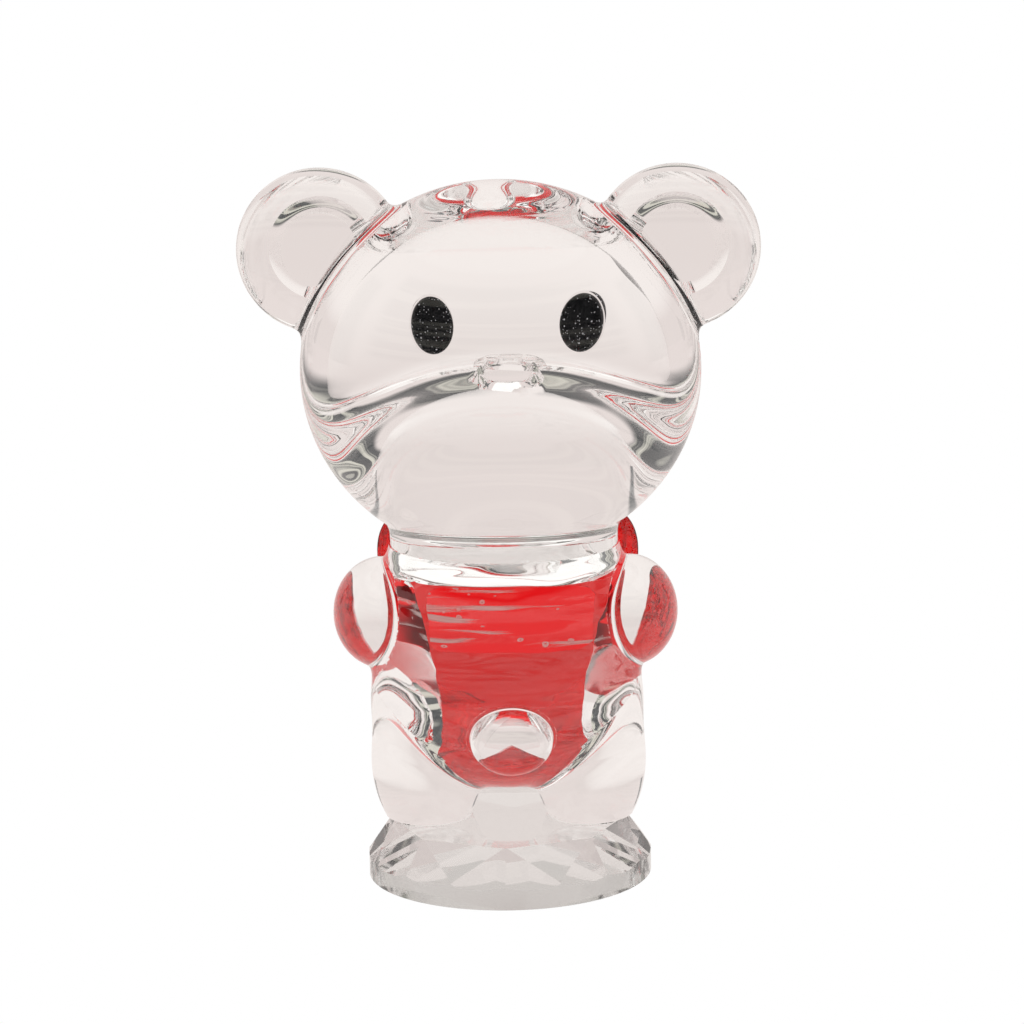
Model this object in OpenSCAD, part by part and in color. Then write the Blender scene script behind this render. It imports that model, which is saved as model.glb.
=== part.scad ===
// Crystal glass bear holding a red glass heart, standing on a faceted glass disc.
// Millimetres. +Z is up, the bear's face looks along +Y, its right side is +X.
// The origin is the centre of the base disc's underside.

/* [Base disc] */
// Diameter of the base disc at its girdle
base_d = 30; // [28:0.5:34]
// Height of the base disc
base_h = 6; // [5.5:0.25:7]
// Height of the plain girdle band above the underside
girdle_h = 2.5; // [2:0.25:3]
// Width of the flat table across its corners
table_d = 25.2; // [24.6:0.2:26]

/* [Head] */
// Width of the head
head_w = 42; // [40:0.5:44]
// Depth of the head without the muzzle
head_d = 32; // [31:0.5:33]
// Height of the head
head_h = 40; // [39:0.5:41]
// Height of the head's centre above the underside of the base
head_z = 54.5; // [54:0.25:55]
// Width of the muzzle bulge
muzzle_w = 26; // [24:0.5:28]
// Height of the muzzle bulge
muzzle_h = 18; // [17:0.5:19]
// How far the muzzle stands in front of the skull's centre
muzzle_reach = 18.5; // [18:0.25:19]
// Width of the nose bump
nose_w = 4.2; // [3.8:0.2:4.8]

/* [Eyes] */
// Distance between the centres of the eyes
eye_gap = 9.4; // [8.6:0.2:11]
// Height of the eyes above the head's centre
eye_up = 0.1; // [0:0.1:2]
// Width of one eye
eye_w = 2.6; // [2.2:0.1:3.2]
// Height of one eye
eye_h = 3.3; // [2.8:0.1:3.8]

/* [Ears] */
// Diameter of an ear
ear_d = 17.5; // [16:0.25:18.5]
// Thickness of an ear at its middle
ear_t = 6.6; // [5.6:0.2:7]
// Distance from the middle plane to an ear's centre
ear_x = 18.6; // [18:0.1:19.2]
// Height of an ear's centre above the underside of the base
ear_z = 67.4; // [66.8:0.1:68]
// Diameter of the cone-shaped recess at its floor
recess_d = 7.4; // [6.6:0.2:8]

/* [Body] */
// Width of the torso at the waist
torso_w = 28.6; // [27:0.2:30]
// Depth of the torso at the waist before the chest is ground flat
torso_d = 22.8; // [21:0.2:24]
// Height of the waist above the underside of the base
waist_z = 20; // [19:0.25:21]
// Height of the flat seat under the head
neck_z = 36; // [35.5:0.25:36.5]
// Distance from the middle plane to the ground flat chest
chest_y = 9.7; // [9.4:0.1:10]
// How far the bevel above the chest looks up from level, in degrees
top_bevel = 38; // [36:0.5:38]
// How far the bevels beside the chest turn away from the front, in degrees
side_bevel = 44; // [40:0.5:46]

/* [Limbs and tail] */
// Distance from the middle plane to an arm's centre
arm_x = 13; // [12.6:0.1:13.4]
// Height of an arm's centre above the underside of the base
arm_z = 28.3; // [27.8:0.1:28.8]
// Distance from the middle plane to a leg's centre
leg_x = 8.6; // [8.4:0.1:9]
// Width of a leg
leg_w = 12; // [11:0.25:12.5]
// Diameter of the tail
tail_d = 7.2; // [6.4:0.2:8]
// How far the tail sits to the bear's right of the middle plane
tail_x = 0.8; // [0:0.1:1]

/* [Heart] */
// Length of one lobe of the heart
lobe_l = 32.4; // [30:0.4:34]
// Width of one lobe of the heart
lobe_w = 15.4; // [14.4:0.2:16]
// Thickness of the heart at its middle
heart_t = 7.5; // [6.5:0.25:8.5]
// Height of the heart's middle above the underside of the base
heart_z = 24.3; // [23.9:0.2:24.7]

/* [Adhesive] */
// Thickness of the cured clear adhesive between two glass pieces
bond_t = 0.1; // [0.05:0.05:0.2]

/* [Hidden] */
$fn = 144;
// Facets of the base disc: main facets hang from the table, break facets stand on the girdle
main_count = 8;
break_count = 2 * main_count;
main_step = 360 / main_count;
break_step = 360 / break_count;
crown_h = base_h - girdle_h;
base_r = base_d / 2;
table_r = table_d / 2;
main_run = base_r - table_r * cos(main_step / 2);
break_run = (base_r - table_r) * cos(break_step / 2);
main_slope = atan(crown_h / main_run);
break_slope = atan(crown_h / break_run);
facet_overlap = 0.04;
// Skull, muzzle and nose
muzzle_size = [muzzle_w, 22, muzzle_h];
muzzle_pos = [0, muzzle_reach - muzzle_size.y / 2, 46.5];
nose_size = [nose_w, 3.2, 1.9];
nose_pos = [0, muzzle_reach - 1.6, 51.3];
// Neck stub between the round of the head and its flat seat, straight at the front
neck_size = [24, 19.2];
neck_stub_h = 4;
neck_front = 4.2;
neck_spare = 1;
// Eyes lie in pockets on the front of the skull
eye_depth = 2;
eye_sink = 0.2;
eye_x = eye_gap / 2;
eye_drop = sqrt(1 - pow(eye_gap / head_w, 2) - pow(2 * eye_up / head_h, 2));
eye_y = head_d / 2 * eye_drop - eye_sink;
// Ears
recess_deep = 2.2;
recess_flare = 0.75;
recess_mouth_y = 4;
recess_cone_h = recess_mouth_y - (ear_t / 2 - recess_deep);
// Torso heights above and below the waist
torso_rise = 30;
torso_fall = 10.5;
// Bevels around the chest: azimuth, rise and one point of each plane
side_rise = -4;
bevel_x = 5.1;
bevel_mid_z = 25.6;
bevel_top_z = 28.9;
bevels = [[0, top_bevel, [0, chest_y, bevel_top_z]],
          [side_bevel, side_rise, [bevel_x, chest_y, bevel_mid_z]],
          [-side_bevel, side_rise, [-bevel_x, chest_y, bevel_mid_z]]];
// Limbs
arm_size = [10.4, 12.6, 11.8];
arm_y = 0.5;
leg_size = [leg_w, 13.6, 18.8];
leg_y = 1;
leg_z = base_h + bond_t + 6.1;
foot_shrink = sqrt(1 - pow((leg_z - base_h - bond_t) / (leg_size.z / 2), 2));
tail_size = [1.2 * tail_d, tail_d, tail_d];
tail_pos = [tail_x, -torso_d / 2 + 0.4, 17.2];
// Heart lobes lean outwards from the tip
lobe_lean = 41.5;
lobe_x = 1.8;
heart_y = chest_y + bond_t;
// Patch of adhesive behind the heart
patch_size = [9.6, 6.2];
patch_corner = 0.9;
patch_z = 25.6;
// Cutting blocks larger than the figure
block = 120;

glass = [0.90, 0.90, 0.92, 0.6];
film = [0.95, 0.95, 0.85, 0.6];
red = [0.80, 0.04, 0.05, 0.8];
black = [0.03, 0.03, 0.04];

// Ellipsoid of the given overall size
module ellipsoid(size) {
    scale(size / 2)
        sphere(r = 1);
}

// Upright oval cylinder of the given width and depth
module oval(size, height) {
    scale([size.x / 2, size.y / 2, 1])
        cylinder(r = 1, h = height);
}

// Block that fills everything above a height
module above(height) {
    translate([-block / 2, -block / 2, height])
        cube(block);
}

// Block that fills everything below a height
module below(height) {
    translate([-block / 2, -block / 2, height - block])
        cube(block);
}

// Block that fills everything behind a distance
module behind(distance) {
    translate([-block / 2, distance - block, -block / 2])
        cube(block);
}

// Block that fills everything behind the plane of one bevel
module behind_bevel(azimuth, rise, point) {
    translate(point)
        rotate([rise, 0, -azimuth])
            behind(0);
}

// Block that fills everything under the plane of one crown facet
module under_facet(azimuth, slope, reach, height) {
    rotate([0, 0, azimuth])
        translate([reach, 0, height])
            rotate([0, slope, 0])
                translate([-block / 2, -block / 2, -block])
                    cube(block);
}

// Faceted disc with a flat table that the feet stand on
module base_disc() {
    color(glass)
        intersection() {
            cylinder(d = base_d, h = base_h);
            intersection_for (k = [0:break_count - 1])
                under_facet((k + 0.5) * break_step, break_slope,
                            base_r * cos(break_step / 2), girdle_h);
            intersection_for (k = [0:main_count - 1])
                under_facet((k + 0.5) * main_step, main_slope,
                            base_r, girdle_h + facet_overlap);
        }
}

// Skull before the muzzle, nose and neck are added
module skull() {
    translate([0, 0, head_z])
        ellipsoid([head_w, head_d, head_h]);
}

// Oval bead of one eye, half sunk in the front of the skull
module eye_bead(side) {
    translate([side * eye_x, eye_y, head_z + eye_up])
        ellipsoid([eye_w, eye_depth, eye_h]);
}

// Oval stub with a straight front, from one height upwards
module neck_stub(low, height) {
    intersection() {
        translate([0, 0, low])
            oval(neck_size, height);
        behind(neck_front);
    }
}

// Head with muzzle, nose and neck stub, before it is ground flat and pocketed
module head_blank() {
    skull();
    translate(muzzle_pos)
        ellipsoid(muzzle_size);
    translate(nose_pos)
        ellipsoid(nose_size);
    neck_stub(neck_z - neck_spare, neck_stub_h + neck_spare);
}

// Head with a flat seat and two eye pockets
module head() {
    color(glass)
        difference() {
            intersection() {
                head_blank();
                above(neck_z);
            }
            for (side = [-1, 1])
                eye_bead(side);
        }
}

// Lens-shaped ear before it is fitted to the skull
module ear_blank(side) {
    translate([side * ear_x, 0, ear_z])
        ellipsoid([ear_d, ear_t, ear_d]);
}

// Ear with a cone-shaped recess in front and a hollow saddle against the skull
module ear(side) {
    color(glass)
        difference() {
            ear_blank(side);
            skull();
            translate([side * ear_x, ear_t / 2 - recess_deep, ear_z])
                rotate([-90, 0, 0])
                    cylinder(d1 = recess_d, d2 = recess_d + 2 * recess_flare * recess_cone_h,
                             h = recess_cone_h);
        }
}

// One half of the rounded torso, above or below the waist
module torso_half(tall) {
    translate([0, 0, waist_z])
        ellipsoid([torso_w, torso_d, 2 * tall]);
}

// Rounded torso before anything is ground flat
module torso_round() {
    intersection() {
        torso_half(torso_rise);
        above(waist_z);
    }
    intersection() {
        torso_half(torso_fall);
        below(waist_z);
    }
}

// Torso with its three bevels, before the neck and chest are ground flat
module torso_blank() {
    intersection() {
        torso_round();
        intersection_for (bevel = bevels)
            behind_bevel(bevel[0], bevel[1], bevel[2]);
    }
}

// Torso with a flat neck seat and a flat chest
module torso() {
    color(glass)
        intersection() {
            torso_blank();
            below(neck_z - bond_t);
            behind(chest_y);
        }
}

// Adhesive between the head's seat and the torso
module bond_neck() {
    color(film)
        intersection() {
            neck_stub(neck_z - bond_t, bond_t);
            torso_round();
        }
}

// Arm before it is fitted to the torso
module arm_blank(side) {
    translate([side * arm_x, arm_y, arm_z])
        ellipsoid(arm_size);
}

// Arm with a hollow saddle against the torso
module arm(side) {
    color(glass)
        difference() {
            arm_blank(side);
            torso_blank();
        }
}

// Leg before it is fitted to the torso
module leg_blank(side) {
    translate([side * leg_x, leg_y, leg_z])
        ellipsoid(leg_size);
}

// Leg with a hollow saddle against the torso and a flat sole
module leg(side) {
    color(glass)
        difference() {
            leg_blank(side);
            torso_blank();
            below(base_h + bond_t);
        }
}

// Adhesive between one sole and the table of the base disc
module foot_bond(side) {
    color(film)
        intersection() {
            translate([side * leg_x, leg_y, base_h])
                oval(foot_shrink * [leg_size.x, leg_size.y], bond_t);
            translate([0, 0, base_h])
                cylinder(r = table_r, h = bond_t, $fn = main_count);
        }
}

// Tail before it is fitted to the torso
module tail_blank() {
    translate(tail_pos)
        ellipsoid(tail_size);
}

// Round tail with a hollow saddle against the torso
module tail() {
    color(glass)
        difference() {
            tail_blank();
            torso_blank();
        }
}

// Half of the heart on one side of the middle plane
module heart_half(side) {
    intersection() {
        translate([side * lobe_x, heart_y, heart_z])
            rotate([0, side * lobe_lean, 0])
                ellipsoid([lobe_w, 2 * heart_t, lobe_l]);
        translate([(side - 1) / 2 * block, heart_y, -block / 2])
            cube(block);
    }
}

// Red heart with a flat back and a domed front
module heart() {
    color(red)
        for (side = [-1, 1])
            heart_half(side);
}

// Patch of adhesive between the chest and the back of the heart
module bond_heart() {
    color(film)
        translate([0, heart_y, patch_z])
            rotate([90, 0, 0])
                linear_extrude(bond_t)
                    offset(r = patch_corner)
                        square(patch_size - 2 * patch_corner * [1, 1], center = true);
}

// Black bead of one eye
module eye(side) {
    color(black)
        eye_bead(side);
}

base_disc();
torso();
head();
ear(-1);  // ear_left
ear(1);  // ear_right
eye(-1);  // eye_left
eye(1);  // eye_right
arm(-1);  // arm_left
arm(1);  // arm_right
leg(-1);  // leg_left
leg(1);  // leg_right
tail();
heart();
bond_neck();
foot_bond(-1);  // bond_foot_left
foot_bond(1);  // bond_foot_right
bond_heart();
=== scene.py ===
"""Looks of the crystal glass bear: smooth glass bodies, red heart, glitter eyes and a faceted disc."""
import math

import bmesh
import bpy
import numpy as np
from mathutils import Matrix, Vector


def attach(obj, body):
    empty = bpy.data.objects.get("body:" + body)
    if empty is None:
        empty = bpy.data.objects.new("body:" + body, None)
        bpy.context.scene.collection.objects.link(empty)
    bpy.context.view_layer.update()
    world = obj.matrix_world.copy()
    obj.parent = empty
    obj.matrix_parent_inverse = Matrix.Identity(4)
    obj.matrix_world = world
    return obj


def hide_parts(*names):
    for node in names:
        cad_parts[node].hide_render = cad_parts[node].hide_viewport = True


MM = 0.001
Y, Z = 1, 2            # places of these axes in a point

# ---------------------------------------------------------------- places and sizes, in millimetres
NECK_Z = 36.0          # flat seat between head and torso
CHEST_Y = 9.7          # flat ground on the chest
BOND = 0.1             # thickness of the adhesive films
GAP = 0.003            # clear space between faces that are bonded, so that no two faces coincide
RIM = 0.02             # rim around an imprinted area whose outline would else touch the face's edge
UPRIGHT = 0.01         # a face counts as upright while its normal rises or falls less than this
THIN_FACE = 0.01       # smallest face of the disc's wall, in square millimetres
TINY, TINIEST = 1e-6, 1e-12   # keep divisions away from zero
MERGE = 1e-7           # vertices closer than this, in metres, become one
THINNEST = 0.006       # where a limb's fillet gets thinner than this, it ends

SKULL_C, SKULL_R = (0, 0, 54.5), (21, 16, 20)
MUZZLE_C, MUZZLE_R = (0, 7.5, 46.5), (13, 11, 9)
NOSE_C, NOSE_R = (0, 16.9, 51.3), (2.1, 1.6, 0.95)
MUZZLE_FILLET, NOSE_FILLET, NECK_FILLET = 1.2, 0.3, 1.2
NECK_R, NECK_FRONT = (12, 9.6), 4.2   # oval stub that ends flat at the front
NECK_SPARE = 1.0       # how far the stub reaches below its seat before it is cut off
EYE_X, EYE_Y, EYE_Z = 4.7, 15.39, 54.6
EYE_R = (1.3, 1.0, 1.65)
EYE_SLACK = 0.12       # air between an eye bead and its pocket

EAR_X, EAR_Z, EAR_R, EAR_HALF = 18.6, 67.4, 8.75, 3.3
RECESS_R, RECESS_FLARE, RECESS_FLOOR_Y = 3.7, 0.75, 1.1

WAIST_Z, TORSO_R = 20.0, (14.3, 11.4)
TORSO_RISE, TORSO_FALL = 30.0, 10.5
BEVEL_X, BEVEL_Z, BEVEL_MID_Z = 5.1, 28.9, 25.6   # where the bevels meet the chest
TOP_BEVEL, SIDE_BEVEL, SIDE_RISE = 38.0, 44.0, -4.0   # degrees

ARM_C, ARM_R = (13.0, 0.5, 28.3), (5.2, 6.3, 5.9)
LEG_C, LEG_R = (8.6, 1.0, 12.2), (6.0, 6.8, 9.4)
TAIL_C, TAIL_R = (0.8, -11.0, 17.2), (4.32, 3.6, 3.6)
ARM_FILLET, LEG_FILLET, EAR_FILLET, TAIL_FILLET = 1.4, 3.2, 2.2, 0.6
# a point inside both the limb and its host, from which the surfaces of both are measured
ARM_INNER, LEG_INNER = (11.8, 1.5, 28.0), (8.3, 0.5, 14.5)
EAR_INNER, TAIL_INNER = (15.5, 0, 64.0), (0.8, -9.5, 17.0)

LOBE_X, LOBE_Z, LOBE_LEAN = 1.8, 24.3, 41.5
LOBE_R = (7.7, 7.5, 16.2)
HEART_Y = CHEST_Y + BOND
PATCH_HALF, PATCH_CORNER, PATCH_Z = (4.8, 3.1), 0.9, 25.6

BASE_R, BASE_H, GIRDLE_H, TABLE_R = 15.0, 6.0, 2.5, 12.6
MAIN_FACETS = 8
FACET_LIFT = 0.04      # how far above the girdle a main facet ends
CUT_SIDE, CUT_LOW, CUT_TOP = 40, -10, 90   # reach of the cutting blocks, well past the figure
IMPRINT_REACH = 0.5    # how far the tool of an imprint stands out of the face

COARSE, MEDIUM, FINE = 5, 6, 7   # subdivisions of a sphere
DISC_SEGMENTS, FLOOR_SEGMENTS = 384, 96
OUTLINE_STEPS, CORNER_STEPS = 128, 8
SOLE_SCALE = math.sqrt(1 - ((LEG_C[2] - BASE_H - BOND) / LEG_R[2]) ** 2)


# ---------------------------------------------------------------- mesh helpers
def add_mesh(name, points, faces):
    """New object from points in millimetres."""
    mesh = bpy.data.meshes.new(name)
    mesh.from_pydata((np.asarray(points, float) * MM).tolist(), [], faces)
    mesh.update()
    obj = bpy.data.objects.new(name, mesh)
    bpy.context.scene.collection.objects.link(obj)
    return obj


def sphere_directions(level):
    """Unit vectors and triangles of a subdivided icosphere."""
    bm = bmesh.new()
    bmesh.ops.create_icosphere(bm, subdivisions=level, radius=1.0)
    directions = np.array([v.co[:] for v in bm.verts])
    faces = [[v.index for v in f.verts] for f in bm.faces]
    bm.free()
    return directions / np.linalg.norm(directions, axis=1)[:, None], faces


SPHERES = {level: sphere_directions(level) for level in (COARSE, MEDIUM, FINE)}


def unit_points(bm):
    """Directions from the origin to the vertices."""
    points = np.array([vert.co[:] for vert in bm.verts])
    return points / np.linalg.norm(points, axis=1)[:, None]


def split_at_zero(bm, values):
    """Stores one value per vertex and cuts the faces along the line where it changes sign."""
    layer = bm.verts.layers.float.get("value") or bm.verts.layers.float.new("value")
    for vert, value in zip(bm.verts, values.tolist()):
        vert[layer] = value
    fresh = []
    for edge in list(bm.edges):
        start, end = edge.verts
        before, after = start[layer], end[layer]
        if before * after < 0:
            middle = bmesh.utils.edge_split(edge, start, before / (before - after))[1]
            middle[layer] = 0.0
            fresh.append(middle)
    bmesh.ops.connect_verts(bm, verts=fresh)


def exit_distance(origin, rays, centre, radii):
    """How far each ray from origin runs before it leaves an ellipsoid; 0 where it misses."""
    start = (np.asarray(origin, float) - centre) / radii
    step = rays / np.asarray(radii, float)
    a = (step * step).sum(1)
    b = (step * start).sum(1)
    c = (start * start).sum() - 1
    inside = b * b - a * c
    return np.where(inside > 0, (-b + np.sqrt(np.maximum(inside, 0))) / a, 0.0).clip(0)


def blend_max(a, b, soft):
    """Larger of two distances, rounded off where they are closer than soft."""
    mix = np.clip(0.5 + 0.5 * (a - b) / soft, 0, 1)
    return b + (a - b) * mix + soft * mix * (1 - mix)


def star_body(name, centre, reach):
    """Closed body whose surface lies at reach(directions) from its centre."""
    rays, faces = SPHERES[FINE]
    return add_mesh(name, np.asarray(centre, float) + rays * reach(rays)[:, None], faces)


def ellipsoid(name, centre, radii, level):
    rays, faces = SPHERES[level]
    return add_mesh(name, np.asarray(centre, float) + rays * np.asarray(radii, float), faces)


def block(name, low, high):
    """Plain cutting block between two corners."""
    corners = [(x, y, z) for x in (low[0], high[0]) for y in (low[1], high[1]) for z in (low[2], high[2])]
    faces = [(0, 1, 3, 2), (4, 6, 7, 5), (0, 4, 5, 1), (2, 3, 7, 6), (0, 2, 6, 4), (1, 5, 7, 3)]
    return add_mesh(name, corners, faces)


def subtract(obj, tool):
    """Cuts the tool's shape out of obj, applied at once."""
    modifier = obj.modifiers.new("cut", "BOOLEAN")
    modifier.operation = "DIFFERENCE"
    modifier.object = tool
    modifier.solver = "EXACT"
    depsgraph = bpy.context.evaluated_depsgraph_get()
    result = bpy.data.meshes.new_from_object(obj.evaluated_get(depsgraph))
    obj.modifiers.clear()
    obj.data = result


def finish_surface(obj, sharp_angle=30):
    """Outward normals, smooth shading and sharp ground edges."""
    bm = bmesh.new()
    bm.from_mesh(obj.data)
    bmesh.ops.remove_doubles(bm, verts=bm.verts, dist=MERGE)
    bmesh.ops.recalc_face_normals(bm, faces=bm.faces)
    for face in bm.faces:
        face.smooth = True
    for edge in bm.edges:
        edge.smooth = len(edge.link_faces) == 2 and edge.calc_face_angle(0) < math.radians(sharp_angle)
    bm.to_mesh(obj.data)
    bm.free()


def remove(*objects):
    for obj in objects:
        bpy.data.objects.remove(obj)


# ---------------------------------------------------------------- glass bodies
def neck_reach(rays):
    """Oval stub that runs down from the skull to just under the seat."""
    x, y, z = rays.T
    to_wall = 1 / np.sqrt((x / NECK_R[0]) ** 2 + (y / NECK_R[1]) ** 2 + TINIEST)
    to_front = NECK_FRONT / np.maximum(y, TINY)
    to_floor = (SKULL_C[2] - NECK_Z + NECK_SPARE) / np.maximum(-z, TINY)
    return np.where(z < 0, np.minimum(np.minimum(to_wall, to_front), to_floor), 0)


def head_reach(rays):
    muzzle = exit_distance(SKULL_C, rays, MUZZLE_C, MUZZLE_R)
    nose = exit_distance(SKULL_C, rays, NOSE_C, NOSE_R)
    skull = exit_distance(SKULL_C, rays, SKULL_C, SKULL_R)
    reach = blend_max(skull, muzzle, MUZZLE_FILLET)
    reach = blend_max(reach, nose, NOSE_FILLET)
    return blend_max(reach, neck_reach(rays), NECK_FILLET)


def make_head():
    head = star_body("crystal_head", SKULL_C, head_reach)
    below = block("below", (-CUT_SIDE, -CUT_SIDE, 0), (CUT_SIDE, CUT_SIDE, NECK_Z))
    subtract(head, below)
    for side in (-1, 1):
        pocket = ellipsoid("pocket", (side * EYE_X, EYE_Y, EYE_Z), np.array(EYE_R) + EYE_SLACK, COARSE)
        subtract(head, pocket)
        remove(pocket)
    remove(below)
    return head


def make_eye(side):
    return ellipsoid("eye_bead", (side * EYE_X, EYE_Y, EYE_Z), EYE_R, MEDIUM)


def skull_exit(origin, rays):
    return exit_distance(origin, rays, SKULL_C, SKULL_R)


def direction(azimuth, elevation):
    """Unit vector; azimuth 0 is +Y and 90 is +X."""
    turn, lift = math.radians(azimuth), math.radians(elevation)
    return np.array([math.sin(turn) * math.cos(lift), math.cos(turn) * math.cos(lift), math.sin(lift)])


BEVELS = [(direction(0, TOP_BEVEL), (0, CHEST_Y, BEVEL_Z)),
          (direction(SIDE_BEVEL, SIDE_RISE), (BEVEL_X, CHEST_Y, BEVEL_MID_Z)),
          (direction(-SIDE_BEVEL, SIDE_RISE), (-BEVEL_X, CHEST_Y, BEVEL_MID_Z))]


def torso_exit(origin, rays):
    """Distance to the surface of the bevelled torso from any point inside it."""
    centre = (0, 0, WAIST_Z)
    upper = exit_distance(origin, rays, centre, (*TORSO_R, TORSO_RISE))
    lower = exit_distance(origin, rays, centre, (*TORSO_R, TORSO_FALL))
    reach = np.where(origin[2] + upper * rays[:, 2] >= WAIST_Z, upper, lower)
    for normal, point in BEVELS:
        ahead = np.maximum(rays @ normal, TINY)
        plane = (np.array(point) - origin) @ normal / ahead
        reach = np.minimum(reach, plane)
    return reach


class Limb:
    """Glass ellipsoid that is joined to a host body and flows into it with a fillet."""

    def __init__(self, centre, radii, inner, host_exit, fillet):
        self.centre = centre
        self.radii = radii
        self.inner = np.array(inner, float)
        self.host_exit = host_exit
        self.fillet = fillet

    def outer(self, rays):
        own = exit_distance(self.inner, rays, self.centre, self.radii)
        return blend_max(own, self.host_exit(self.inner, rays), self.fillet)

    def covers(self, points):
        """Negative where a point of the host's surface lies under the limb."""
        rays = points - self.inner
        far = np.linalg.norm(rays, axis=1)
        return far - self.outer(rays / far[:, None]) + THINNEST

    def build(self, name):
        """Outer sheet over the limb and saddle sheet on the host, joined along the fillet's thin edge."""
        bm = bmesh.new()
        bmesh.ops.create_icosphere(bm, subdivisions=FINE, radius=1.0)
        rays = unit_points(bm)
        split_at_zero(bm, self.outer(rays) - self.host_exit(self.inner, rays) - THINNEST)
        layer = bm.verts.layers.float["value"]
        bmesh.ops.delete(bm, geom=[vert for vert in bm.verts if vert[layer] < 0], context="VERTS")
        bm.verts.index_update()
        rays = unit_points(bm)
        host = self.host_exit(self.inner, rays)
        rim = np.array([vert[layer] == 0 for vert in bm.verts])
        outside = self.inner + rays * np.where(rim, host, self.outer(rays))[:, None]
        saddle = self.inner + rays * (host + GAP)[:, None]
        count = len(rays)
        fronts = [[vert.index for vert in face.verts] for face in bm.faces]
        backs = [[v if rim[v] else v + count for v in reversed(face)] for face in fronts]
        bm.free()
        used = sorted({v for face in fronts + backs for v in face})
        order = {v: k for k, v in enumerate(used)}
        points = np.concatenate([outside, saddle])[used]
        limb = add_mesh(name, points, [[order[v] for v in face] for face in fronts + backs])
        limb.data.polygons.foreach_set("material_index", [0] * len(fronts) + [1] * len(backs))
        return limb


def limb_at(side, centre, radii, inner, host_exit, fillet):
    """Limb on one side; side is -1 or 1."""
    return Limb((side * centre[0], centre[1], centre[2]), radii, (side * inner[0], inner[1], inner[2]),
                host_exit, fillet)


EARS = {side: limb_at(side, (EAR_X, 0, EAR_Z), (EAR_R, EAR_HALF, EAR_R), EAR_INNER, skull_exit,
                      EAR_FILLET) for side in (-1, 1)}
ARMS = {side: limb_at(side, ARM_C, ARM_R, ARM_INNER, torso_exit, ARM_FILLET) for side in (-1, 1)}
LEGS = {side: limb_at(side, LEG_C, LEG_R, LEG_INNER, torso_exit, LEG_FILLET) for side in (-1, 1)}
TAIL = Limb(TAIL_C, TAIL_R, TAIL_INNER, torso_exit, TAIL_FILLET)


def mark_cover(obj, limbs):
    """Second material slot for the part of a host's surface that lies under its limbs."""
    bm = bmesh.new()
    bm.from_mesh(obj.data)
    bmesh.ops.triangulate(bm, faces=bm.faces)
    points = np.array([vert.co[:] for vert in bm.verts]) / MM
    split_at_zero(bm, np.min([limb.covers(points) for limb in limbs], axis=0))
    layer = bm.verts.layers.float["value"]
    for face in bm.faces:
        if max(vert[layer] for vert in face.verts) <= 0:
            face.material_index = 1
    bm.to_mesh(obj.data)
    bm.free()


def mark_joint(obj, axis, place, slack=0.001):
    """Second material slot for the faces that lie on one joint plane."""
    for face in obj.data.polygons:
        if all(abs(obj.data.vertices[v].co[axis] / MM - place) < slack for v in face.vertices):
            face.material_index = 1


def mark_wall(obj, slot):
    """Material slot for the upright faces of a disc, apart from hair-thin ones."""
    for face in obj.data.polygons:
        if abs(face.normal.z) < UPRIGHT and face.area > THIN_FACE * MM ** 2:
            face.material_index = slot


def imprint(obj, outline, axis, level, inward):
    """Sinks the outline of a bonded area into a flat face by a hair's breadth, as a face of its own."""
    low, high = sorted((level - inward * IMPRINT_REACH, level + inward * GAP))
    tool = make_film("tool", outline, "xyz"[axis], low, high - low)
    subtract(obj, tool)
    remove(tool)


def make_ear(side):
    """Ear with a round dish in its front: flat floor and flared wall, both with crisp edges."""
    ear = EARS[side].build("ear")
    centre = np.array([side * EAR_X, 0, EAR_Z])

    def wall_height(points):
        radius = np.hypot(points[:, 0] - centre[0], points[:, 2] - centre[2])
        return RECESS_FLOOR_Y + np.maximum(radius - RECESS_R, 0) / RECESS_FLARE, radius - RECESS_R

    bm = bmesh.new()
    bm.from_mesh(ear.data)
    for pick in (0, 1):
        points = np.array([vert.co[:] for vert in bm.verts]) / MM
        height, beyond = wall_height(points)
        above = points[:, 1] - height
        values = above if pick == 0 else np.where(above > 0, beyond, 1.0)
        split_at_zero(bm, values)
    points = np.array([vert.co[:] for vert in bm.verts]) / MM
    height = wall_height(points)[0]
    points[:, 1] = np.where(points[:, 1] > height, height, points[:, 1])
    for vert, point in zip(bm.verts, points.tolist()):
        vert.co = Vector(point) * MM
    bm.to_mesh(ear.data)
    bm.free()
    return ear


def make_torso():
    middle = (0, 0, WAIST_Z)
    torso = star_body("torso", middle, lambda rays: torso_exit(middle, rays))
    top = (CUT_SIDE, CUT_SIDE, CUT_TOP)
    for cutter in (block("above", (-CUT_SIDE, -CUT_SIDE, NECK_Z - BOND), top),
                   block("front", (-CUT_SIDE, CHEST_Y, CUT_LOW), top)):
        subtract(torso, cutter)
        remove(cutter)
    return torso


def make_leg(side):
    """Leg whose sole is ground flat."""
    leg = LEGS[side].build("leg")
    bm = bmesh.new()
    bm.from_mesh(leg.data)
    cut = bmesh.ops.bisect_plane(bm, geom=bm.verts[:] + bm.edges[:] + bm.faces[:],
                                 plane_co=(0, 0, (BASE_H + BOND) * MM), plane_no=(0, 0, -1), clear_outer=True)
    edges = [item for item in cut["geom_cut"] if isinstance(item, bmesh.types.BMEdge)]
    bmesh.ops.edgenet_fill(bm, edges=edges)
    bm.to_mesh(leg.data)
    bm.free()
    return leg


def neck_outline(margin=0.0):
    """Oval of the neck seat, cut off straight at the front and drawn in by a margin."""
    narrow = math.sqrt(1 - ((NECK_Z - WAIST_Z) / TORSO_RISE) ** 2)
    oval = oval_outline((0, 0), [min(a, b * narrow) - margin for a, b in zip(NECK_R, TORSO_R)])
    return [(x, min(y, NECK_FRONT - margin)) for x, y in oval]


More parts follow.
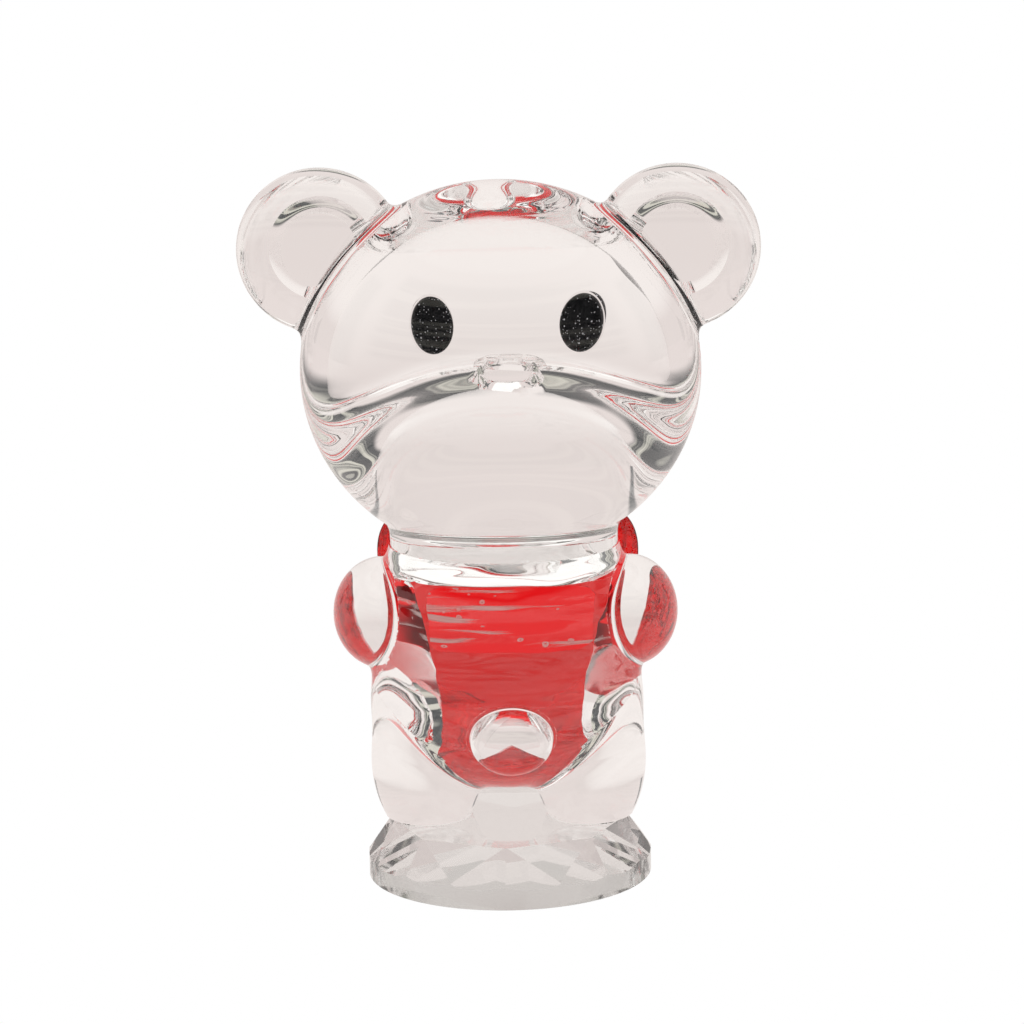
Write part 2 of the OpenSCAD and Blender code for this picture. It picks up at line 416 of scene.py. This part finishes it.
def make_heart():
    """Two leaning half ellipsoids that meet at the middle plane, flat at the back."""
    middle = np.array([0, HEART_Y, LOBE_Z])

    def reach(rays):
        side = np.where(rays[:, 0] >= 0, 1.0, -1.0)
        lean = math.radians(LOBE_LEAN)
        x = rays[:, 0] * side
        z = rays[:, 2]
        turned = np.stack([x * math.cos(lean) - z * math.sin(lean), rays[:, 1],
                           x * math.sin(lean) + z * math.cos(lean)], 1)
        offset = np.array([LOBE_X, 0, 0.0])
        start = -np.array([offset[0] * math.cos(lean), 0, offset[0] * math.sin(lean)])
        return exit_distance(start, turned, (0, 0, 0), LOBE_R)

    heart = star_body("red_heart", middle, reach)
    behind = block("behind", (-CUT_SIDE, -CUT_SIDE, CUT_LOW), (CUT_SIDE, HEART_Y, CUT_TOP))
    subtract(heart, behind)
    remove(behind)
    return heart


def make_film(name, outline, axis, start, thickness):
    """Flat film of the given outline, stretched along one axis."""
    count = len(outline)
    rings = []
    for level in (start, start + thickness):
        for u, v in outline:
            rings.append((u, v, level) if axis == "z" else (u, level, v))
    faces = [tuple(range(count))[::-1], tuple(range(count, 2 * count))]
    for k in range(count):
        after = (k + 1) % count
        faces.append((k, after, after + count, k + count))
    if axis == "y":
        faces = [face[::-1] for face in faces]
    return add_mesh(name, rings, faces)


def oval_outline(centre, radii):
    return [(centre[0] + radii[0] * math.cos(a), centre[1] + radii[1] * math.sin(a))
            for a in np.linspace(0, 2 * math.pi, OUTLINE_STEPS, endpoint=False)]


def sole_outline(side):
    """Oval of one sole, ended where the flat table of the disc ends."""
    middle = np.array([side * LEG_C[0], LEG_C[1]])
    apothem = TABLE_R * math.cos(math.pi / MAIN_FACETS)
    points = []
    for point in oval_outline(middle, (LEG_R[0] * SOLE_SCALE, LEG_R[1] * SOLE_SCALE)):
        reach = 1.0
        for k in range(MAIN_FACETS):
            turn = (2 * k + 1) * math.pi / MAIN_FACETS
            across = np.array([math.cos(turn), math.sin(turn)])
            ahead = across @ (point - middle)
            if ahead > 0:
                reach = min(reach, (apothem - across @ middle) / ahead)
        points.append(tuple(middle + reach * (point - middle)))
    return points


def patch_outline():
    """Rounded rectangle of the adhesive behind the heart."""
    points = []
    for quarter, (sx, sz) in enumerate(((1, 1), (-1, 1), (-1, -1), (1, -1))):
        for step in range(CORNER_STEPS + 1):
            angle = math.radians(90 * quarter + 90 * step / CORNER_STEPS)
            points.append((sx * (PATCH_HALF[0] - PATCH_CORNER) + PATCH_CORNER * math.cos(angle),
                           PATCH_Z + sz * (PATCH_HALF[1] - PATCH_CORNER) + PATCH_CORNER * math.sin(angle)))
    return points


def make_disc():
    """Round disc whose crown is ground to main and break facets."""
    bm = bmesh.new()
    bmesh.ops.create_cone(bm, cap_ends=True, segments=DISC_SEGMENTS, radius1=BASE_R * MM, radius2=BASE_R * MM,
                          depth=BASE_H * MM)
    bmesh.ops.translate(bm, verts=bm.verts, vec=(0, 0, BASE_H / 2 * MM))
    crown = BASE_H - GIRDLE_H

    def grind(azimuth, slope, reach, height):
        normal = Vector((math.sin(slope) * math.cos(azimuth), math.sin(slope) * math.sin(azimuth),
                         math.cos(slope)))
        point = Vector((reach * math.cos(azimuth), reach * math.sin(azimuth), height)) * MM
        cut = bmesh.ops.bisect_plane(bm, geom=bm.verts[:] + bm.edges[:] + bm.faces[:], plane_co=point,
                                     plane_no=normal, clear_outer=True)
        edges = [item for item in cut["geom_cut"] if isinstance(item, bmesh.types.BMEdge)]
        bmesh.ops.edgenet_fill(bm, edges=edges)

    half = math.pi / MAIN_FACETS
    for k in range(2 * MAIN_FACETS):
        chord = BASE_R * math.cos(half / 2)
        slope = math.atan(crown / ((BASE_R - TABLE_R) * math.cos(half / 2)))
        grind((k + 0.5) * half, slope, chord, GIRDLE_H)
    for k in range(MAIN_FACETS):
        slope = math.atan(crown / (BASE_R - TABLE_R * math.cos(half)))
        grind((2 * k + 1) * half, slope, BASE_R, GIRDLE_H + FACET_LIFT)
    mesh = bpy.data.meshes.new("crystal_disc")
    bm.to_mesh(mesh)
    bm.free()
    disc = bpy.data.objects.new("crystal_disc", mesh)
    bpy.context.scene.collection.objects.link(disc)
    return disc


# ---------------------------------------------------------------- materials
class Graph:
    """Small helper that chains math nodes of one node tree."""

    def __init__(self, tree):
        self.nodes = tree.nodes
        self.links = tree.links

    def plug(self, socket, value):
        if isinstance(value, (int, float)):
            socket.default_value = value
        else:
            self.links.new(value, socket)

    def math(self, operation, a, b=0.0):
        node = self.nodes.new("ShaderNodeMath")
        node.operation = operation
        self.plug(node.inputs[0], a)
        self.plug(node.inputs[1], b)
        return node.outputs["Value"]

    def ramp(self, value, low, high):
        """0 below low and 1 above high, or the other way round where low is the larger."""
        node = self.nodes.new("ShaderNodeMapRange")
        node.interpolation_type = "SMOOTHSTEP"
        node.inputs["From Min"].default_value = low
        node.inputs["From Max"].default_value = high
        self.plug(node.inputs["Value"], value)
        return node.outputs["Result"]

    def mix(self, factor, a, b):
        node = self.nodes.new("ShaderNodeMix")
        node.data_type = "RGBA"
        self.plug(node.inputs["Factor"], factor)
        for socket, value in ((node.inputs["A"], a), (node.inputs["B"], b)):
            if isinstance(value, tuple):
                socket.default_value = (*value, 1)
            else:
                self.links.new(value, socket)
        return node.outputs["Result"]

    def band(self, value, low, high, soft):
        """1 between low and high, with soft edges."""
        rise = self.ramp(value, low - soft / 2, low + soft / 2)
        fall = self.ramp(value, high + soft / 2, high - soft / 2)
        return self.math("MULTIPLY", rise, fall)


def node_material(name):
    """New material and its Principled shader."""
    material = bpy.data.materials.new(name)
    material.use_nodes = True
    return material, material.node_tree.nodes["Principled BSDF"]


CRYSTAL_TINT = (0.985, 0.985, 0.982)
# painted shade: the disc's crystal is tinted darker than the figure's, so the base looks greyer
DISC_SHADE_TINT = (0.80, 0.795, 0.79)
# painted shade: the disc's upright wall is tinted grey, far darker than the clear crystal
GIRDLE_SHADE_TINT = (0.52, 0.53, 0.52)
RED_TINT = (0.72, 0.00005, 0.0001)
FILM_TINT = (0.98, 0.98, 0.97)
GLASS_INDEX, FILM_INDEX = 1.52, 1.50
GIRDLE_ROUGHNESS = 0.08
# waves of a glass surface: size in millimetres, vertical stretch, height in millimetres
CALM, UNEVEN, MOULDED = (9.0, 1.0, 0.006), (9.0, 3.0, 0.12), (7.0, 3.0, 0.45)
WAVE_DETAIL = 1.0

# milky streaks of the adhesive, partly painted highlight: bright pinkish white bands that stand in for glossy
# highlights over the red heart
MILK_AND_HIGHLIGHT = (1.0, 0.80, 0.78)
MILK_ROUGHNESS, MILK_HIGHLIGHT_DETAIL = 0.4, 3.0
MILK_HIGHLIGHT_SCALE, MILK_HIGHLIGHT_STRETCH = 110, (0.8, 1.0, 11.0)
MILK_HIGHLIGHT_EDGE, MILK_HIGHLIGHT_STRENGTH = (0.57, 0.67), 0.6
BUBBLE_SCALE, BUBBLE_SHARE = 1300, 0.75      # cells per metre, share of the cells without a bubble
BUBBLE_RING, BUBBLE_STRENGTH = (0.14, 0.26, 0.08), 0.6

EYE_BLACK, EYE_SILVER = (0.006, 0.006, 0.008), (0.86, 0.90, 0.96)
EYE_ROUGHNESS, EYE_SPECULAR = 0.5, 0.2
FLECKS = ((4200, 0.80), (7500, 0.72))        # cells per metre, share of the cells without a fleck
FLECK_EDGE = (0.30, 0.16)


def surface_waves(material, shader, size, stretch, height):
    """Bump of smooth waves for unevenly polished glass; size and height in millimetres."""
    nodes, links = material.node_tree.nodes, material.node_tree.links
    coords = nodes.new("ShaderNodeTexCoord")
    mapping = nodes.new("ShaderNodeMapping")
    mapping.inputs["Scale"].default_value = (1, 1, stretch)
    noise = nodes.new("ShaderNodeTexNoise")
    noise.inputs["Scale"].default_value = 1 / (size * MM)
    noise.inputs["Detail"].default_value = WAVE_DETAIL
    bump = nodes.new("ShaderNodeBump")
    bump.inputs["Strength"].default_value = 1.0
    bump.inputs["Distance"].default_value = height * MM
    links.new(coords.outputs["Object"], mapping.inputs["Vector"])
    links.new(mapping.outputs["Vector"], noise.inputs["Vector"])
    links.new(noise.outputs["Fac"], bump.inputs["Height"])
    links.new(bump.outputs["Normal"], shader.inputs["Normal"])


def glass_material(name, tint, ior=GLASS_INDEX, waves=None, roughness=0.0):
    """Polished or matt glass, with waves as (size, vertical stretch, height)."""
    material, shader = node_material(name)
    shader.inputs["Base Color"].default_value = (*tint, 1)
    shader.inputs["Transmission Weight"].default_value = 1.0
    shader.inputs["Roughness"].default_value = roughness
    shader.inputs["IOR"].default_value = ior
    if waves:
        surface_waves(material, shader, *waves)
    return material


def bonded_material():
    """Face that is bonded to its neighbour, where light passes straight from glass to glass."""
    material, shader = node_material("bonded_face")
    shader.inputs["Alpha"].default_value = 0.0
    return material


def haze_and_highlight_material():
    """Bonded face of the adhesive behind the heart, with small bubbles in it and milky streaks that are
    partly painted highlight, bright enough to stand in for glossy highlights over the red.
    """
    material, shader = node_material("adhesive_haze_and_highlight")
    nodes, links = material.node_tree.nodes, material.node_tree.links
    graph = Graph(material.node_tree)
    coords = nodes.new("ShaderNodeTexCoord")
    mapping = nodes.new("ShaderNodeMapping")
    mapping.inputs["Scale"].default_value = MILK_HIGHLIGHT_STRETCH
    streaks = nodes.new("ShaderNodeTexNoise")
    streaks.inputs["Scale"].default_value = MILK_HIGHLIGHT_SCALE
    streaks.inputs["Detail"].default_value = MILK_HIGHLIGHT_DETAIL
    bubbles = nodes.new("ShaderNodeTexVoronoi")
    bubbles.inputs["Scale"].default_value = BUBBLE_SCALE
    links.new(coords.outputs["Object"], mapping.inputs["Vector"])
    links.new(mapping.outputs["Vector"], streaks.inputs["Vector"])
    links.new(coords.outputs["Object"], bubbles.inputs["Vector"])
    split = nodes.new("ShaderNodeSeparateColor")
    links.new(bubbles.outputs["Color"], split.inputs["Color"])
    rare = graph.math("GREATER_THAN", split.outputs["Red"], BUBBLE_SHARE)
    ring = graph.band(bubbles.outputs["Distance"], *BUBBLE_RING)
    dots = graph.math("MULTIPLY", graph.math("MULTIPLY", ring, rare), BUBBLE_STRENGTH)
    # milky streaks, partly painted highlight
    milk_and_highlight = graph.math("MULTIPLY", graph.ramp(streaks.outputs["Fac"], *MILK_HIGHLIGHT_EDGE), MILK_HIGHLIGHT_STRENGTH)
    links.new(graph.math("MAXIMUM", dots, milk_and_highlight), shader.inputs["Alpha"])
    shader.inputs["Base Color"].default_value = (*MILK_AND_HIGHLIGHT, 1)
    shader.inputs["Roughness"].default_value = MILK_ROUGHNESS
    return material


def eye_material():
    """Black bead with silver flecks of several sizes."""
    material, shader = node_material("black_glitter")
    nodes, links = material.node_tree.nodes, material.node_tree.links
    graph = Graph(material.node_tree)
    coords = nodes.new("ShaderNodeTexCoord")
    flecks = 0.0
    for scale, share in FLECKS:
        cells = nodes.new("ShaderNodeTexVoronoi")
        cells.inputs["Scale"].default_value = scale
        links.new(coords.outputs["Object"], cells.inputs["Vector"])
        split = nodes.new("ShaderNodeSeparateColor")
        links.new(cells.outputs["Color"], split.inputs["Color"])
        chosen = graph.math("GREATER_THAN", split.outputs["Red"], share)
        dot = graph.ramp(cells.outputs["Distance"], *FLECK_EDGE)
        flecks = graph.math("MAXIMUM", graph.math("MULTIPLY", dot, chosen), flecks)
    colour = graph.mix(flecks, EYE_BLACK, EYE_SILVER)
    links.new(colour, shader.inputs["Base Color"])
    shader.inputs["Roughness"].default_value = EYE_ROUGHNESS
    shader.inputs["Specular IOR Level"].default_value = EYE_SPECULAR
    return material


# ---------------------------------------------------------------- stage: floor, world and camera
WHITE = (1, 1, 1, 1)
PALE = (0.80, 0.72, 0.695)
FLOOR_R, FLOOR_DROP = 3.0, 0.05      # radius in metres, and how far the floor lies below the disc, in mm
FLOOR_PALE = (0.78, 0.705, 0.68)
FLOOR_LIGHT_POOL = (0.93, 0.87, 0.84)    # painted pool of light on the floor near the object
LIGHT_POOL_FRONT_FADE = (0.03, 0.26)            # where the painted pool of light fades to the pale floor in front of the bear, in metres
LIGHT_POOL_BACK_FADE = (-0.260, -0.110)        # where the painted pool of light fades to the pale floor behind the bear, on the camera's side, in metres
DARK = (0.065, 0.070, 0.072)
SOFTBOX = (1.1, 1.08, 1.05)
CREAM = (0.66, 0.64, 0.56)
CARD_GREY = (0.10, 0.11, 0.115)
# below, a height is the z of a unit vector towards that part of the world, and angles are in degrees
CARDS = ((90, 9, -0.25, 0.60), (54, 2.5, -0.25, 0.35))   # azimuth, half width, lowest and highest z
CARD_SOFT = 0.08
SOFTBOX_EDGE = (0.80, 0.84)
ROOM_EDGE = (108, 118)               # azimuths between which the room begins
ROOM_HEIGHTS, ROOM_SOFT = (0.10, 0.72), 0.06
ROOM_GRAIN, ROOM_DETAIL = (0.3, 0.3, 14.0), 2.0
ROOM_STREAKS = (0.50, 0.60)


def make_world():
    """Soft studio: white for the camera, and what the glass reflects and bends for other rays."""
    world = bpy.data.worlds.new("studio")
    bpy.context.scene.world = world
    world.use_nodes = True
    tree = world.node_tree
    tree.nodes.clear()
    graph = Graph(tree)
    coords = tree.nodes.new("ShaderNodeTexCoord")
    split = tree.nodes.new("ShaderNodeSeparateXYZ")
    tree.links.new(coords.outputs["Generated"], split.inputs["Vector"])
    x, y, z = (split.outputs[k] for k in "XYZ")
    azimuth = graph.math("ARCTAN2", x, y)   # 0 towards +Y, +-pi towards -Y
    away = graph.math("ABSOLUTE", azimuth)
    # overhead softbox
    colour = graph.mix(graph.ramp(z, *SOFTBOX_EDGE), PALE, SOFTBOX)
    # room behind the camera, above the horizon: cream walls with dark streaks
    stretch = tree.nodes.new("ShaderNodeVectorMath")
    stretch.operation = "MULTIPLY"
    stretch.inputs[1].default_value = ROOM_GRAIN
    tree.links.new(coords.outputs["Generated"], stretch.inputs[0])
    streaks = tree.nodes.new("ShaderNodeTexNoise")
    streaks.inputs["Scale"].default_value = 1.0
    streaks.inputs["Detail"].default_value = ROOM_DETAIL
    tree.links.new(stretch.outputs["Vector"], streaks.inputs["Vector"])
    walls = graph.mix(graph.ramp(streaks.outputs["Fac"], *ROOM_STREAKS), DARK, CREAM)
    room = graph.math("MULTIPLY", graph.ramp(away, *map(math.radians, ROOM_EDGE)),
                      graph.band(z, *ROOM_HEIGHTS, ROOM_SOFT))
    colour = graph.mix(room, colour, walls)
    # grey cards beside the object, which draw the outlines in the glass
    for middle, half, low, high in CARDS:
        left, right, soft = (math.radians(a) for a in (middle - half, middle + half, half))
        card = graph.math("MULTIPLY", graph.band(away, left, right, soft),
                          graph.band(z, low, high, CARD_SOFT))
        colour = graph.mix(card, colour, CARD_GREY)
    background = tree.nodes.new("ShaderNodeBackground")
    tree.links.new(colour, background.inputs["Color"])
    white = tree.nodes.new("ShaderNodeBackground")
    white.inputs["Color"].default_value = WHITE
    path = tree.nodes.new("ShaderNodeLightPath")
    pick = tree.nodes.new("ShaderNodeMixShader")
    tree.links.new(path.outputs["Is Camera Ray"], pick.inputs["Fac"])
    tree.links.new(background.outputs["Background"], pick.inputs[1])
    tree.links.new(white.outputs["Background"], pick.inputs[2])
    output = tree.nodes.new("ShaderNodeOutputWorld")
    tree.links.new(pick.outputs["Shader"], output.inputs["Surface"])


def make_floor():
    """Pale floor that glows as emission: white for the camera, and for other rays a painted pool of light
    that makes it a little brighter near the object.
    """
    bm = bmesh.new()
    bmesh.ops.create_circle(bm, cap_ends=True, segments=FLOOR_SEGMENTS, radius=FLOOR_R)
    mesh = bpy.data.meshes.new("floor")
    bm.to_mesh(mesh)
    bm.free()
    floor = bpy.data.objects.new("floor", mesh)
    bpy.context.scene.collection.objects.link(floor)
    floor.location.z = -FLOOR_DROP * MM
    material = bpy.data.materials.new("pale_floor")
    material.use_nodes = True
    tree = material.node_tree
    tree.nodes.clear()
    graph = Graph(tree)
    coords = tree.nodes.new("ShaderNodeTexCoord")
    split = tree.nodes.new("ShaderNodeSeparateXYZ")
    tree.links.new(coords.outputs["Object"], split.inputs["Vector"])
    shade = tree.nodes.new("ShaderNodeEmission")
    # painted pool of light: a brighter floor colour around the object, seen only by rays other than the
    # camera's
    ahead = graph.mix(graph.ramp(split.outputs["Y"], *LIGHT_POOL_FRONT_FADE), FLOOR_LIGHT_POOL, FLOOR_PALE)
    colour = graph.mix(graph.ramp(split.outputs["Y"], *LIGHT_POOL_BACK_FADE), FLOOR_PALE, ahead)
    tree.links.new(colour, shade.inputs["Color"])
    white = tree.nodes.new("ShaderNodeEmission")
    white.inputs["Color"].default_value = WHITE
    path = tree.nodes.new("ShaderNodeLightPath")
    pick = tree.nodes.new("ShaderNodeMixShader")
    tree.links.new(path.outputs["Is Camera Ray"], pick.inputs["Fac"])
    tree.links.new(shade.outputs["Emission"], pick.inputs[1])
    tree.links.new(white.outputs["Emission"], pick.inputs[2])
    output = tree.nodes.new("ShaderNodeOutputMaterial")
    tree.links.new(pick.outputs["Shader"], output.inputs["Surface"])
    floor.data.materials.append(material)


CAMERA_DISTANCE, CAMERA_HEIGHT = 612.0, 187.0
CAMERA_YAW, CAMERA_PITCH, CAMERA_ROLL = -2.2, 13.6, 1.15
CAMERA_LENS, SENSOR = 210.4, 36.0
SHIFT_X, SHIFT_Y = 0.0084, 0.0018
CLIP_START = 0.01      # metres
GLASS_BOUNCES, MIRROR_BOUNCES = 32, 16


def make_camera():
    """Long lens that looks at the bear's back from a little above; places in mm, angles in degrees."""
    data = bpy.data.cameras.new("camera")
    data.sensor_width = SENSOR
    data.lens = CAMERA_LENS
    data.clip_start = CLIP_START
    data.shift_x = SHIFT_X
    data.shift_y = SHIFT_Y
    camera = bpy.data.objects.new("camera", data)
    bpy.context.scene.collection.objects.link(camera)
    yaw = math.radians(CAMERA_YAW)
    camera.location = Vector((-CAMERA_DISTANCE * math.sin(yaw), -CAMERA_DISTANCE * math.cos(yaw),
                              CAMERA_HEIGHT)) * MM
    turn = (Matrix.Rotation(-yaw, 3, "Z") @ Matrix.Rotation(math.radians(90 - CAMERA_PITCH), 3, "X")
            @ Matrix.Rotation(-math.radians(CAMERA_ROLL), 3, "Z"))
    camera.rotation_euler = turn.to_euler()
    bpy.context.scene.camera = camera


# ---------------------------------------------------------------- assembly
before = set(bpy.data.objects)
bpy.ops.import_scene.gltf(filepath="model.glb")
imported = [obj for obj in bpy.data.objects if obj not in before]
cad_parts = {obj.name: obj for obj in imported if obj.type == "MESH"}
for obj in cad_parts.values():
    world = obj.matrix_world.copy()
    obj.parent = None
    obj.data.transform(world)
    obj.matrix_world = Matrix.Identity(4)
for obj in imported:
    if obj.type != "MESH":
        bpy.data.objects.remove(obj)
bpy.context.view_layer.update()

CRYSTAL = glass_material("clear_crystal", CRYSTAL_TINT, waves=CALM)
WAVY = glass_material("wavy_crystal", CRYSTAL_TINT, waves=UNEVEN)
RED = glass_material("red_crystal", RED_TINT, waves=MOULDED)
GROUND = glass_material("ground_crystal", DISC_SHADE_TINT)
GIRDLE = glass_material("matt_girdle", GIRDLE_SHADE_TINT, roughness=GIRDLE_ROUGHNESS)
FILM = glass_material("clear_adhesive", FILM_TINT, ior=FILM_INDEX)
BONDED = bonded_material()
GLITTER = eye_material()


def place(obj, name, node, slot, *materials, sharp_angle=30):
    """Names a piece, finishes its surface and lets it stand for one CAD node."""
    obj.name = name
    finish_surface(obj, sharp_angle)
    for material in materials:
        obj.data.materials.append(material)
    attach(obj, "root")
    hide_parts(node)


def flat_film(name, node, outline, axis, low, face):
    """Adhesive film between two flat faces, with the given material on its bonded sides."""
    film = make_film("film", outline, "xyz"[axis], low + GAP, BOND - 2 * GAP)
    for level in (low + GAP, low + BOND - GAP):
        mark_joint(film, axis, level)
    place(film, name, node, "adhesive", FILM, face)


head = make_head()
imprint(head, neck_outline(RIM), Z, NECK_Z, 1)
mark_cover(head, EARS.values())
mark_joint(head, Z, NECK_Z + GAP)
place(head, "crystal_head", "head", "crystal", CRYSTAL, BONDED)
torso = make_torso()
imprint(torso, patch_outline(), Y, CHEST_Y, -1)
imprint(torso, neck_outline(RIM), Z, NECK_Z - BOND, -1)
mark_cover(torso, [*ARMS.values(), *LEGS.values(), TAIL])
mark_joint(torso, Z, NECK_Z - BOND - GAP)
mark_joint(torso, Y, CHEST_Y - GAP)
place(torso, "crystal_torso", "torso", "crystal", WAVY, BONDED)
disc = make_disc()
for side, word in ((-1, "left"), (1, "right")):
    place(make_ear(side), "crystal_ear_" + word, "ear_" + word, "crystal", CRYSTAL, BONDED)
    place(make_eye(side), "glitter_eye_" + word, "eye_" + word, "black_eye", GLITTER)
    place(ARMS[side].build("arm"), "crystal_arm_" + word, "arm_" + word, "crystal", WAVY, BONDED)
    leg = make_leg(side)
    mark_joint(leg, Z, BASE_H + BOND)
    place(leg, "crystal_leg_" + word, "leg_" + word, "crystal", CRYSTAL, BONDED)
    sole = sole_outline(side)
    flat_film("film_foot_" + word, "bond_foot_" + word, sole, Z, BASE_H, BONDED)
    imprint(disc, sole, Z, BASE_H, -1)
place(TAIL.build("tail"), "crystal_tail", "tail", "crystal", CRYSTAL, BONDED)
mark_joint(disc, Z, BASE_H - GAP)
mark_wall(disc, 2)
place(disc, "crystal_disc", "base_disc", "crystal", GROUND, BONDED, GIRDLE, sharp_angle=5)
heart = make_heart()
imprint(heart, patch_outline(), Y, HEART_Y, 1)
mark_joint(heart, Y, HEART_Y + GAP)
place(heart, "red_heart", "heart", "red_glass", RED, BONDED)
flat_film("film_neck", "bond_neck", neck_outline(), Z, NECK_Z - BOND, BONDED)
flat_film("film_heart", "bond_heart", patch_outline(), Y, CHEST_Y, haze_and_highlight_material())

make_floor()
make_world()
make_camera()
scene = bpy.context.scene
scene.view_settings.view_transform = "Standard"
scene.cycles.max_bounces = GLASS_BOUNCES
scene.cycles.transmission_bounces = GLASS_BOUNCES
scene.cycles.glossy_bounces = MIRROR_BOUNCES
scene.cycles.transparent_max_bounces = MIRROR_BOUNCES
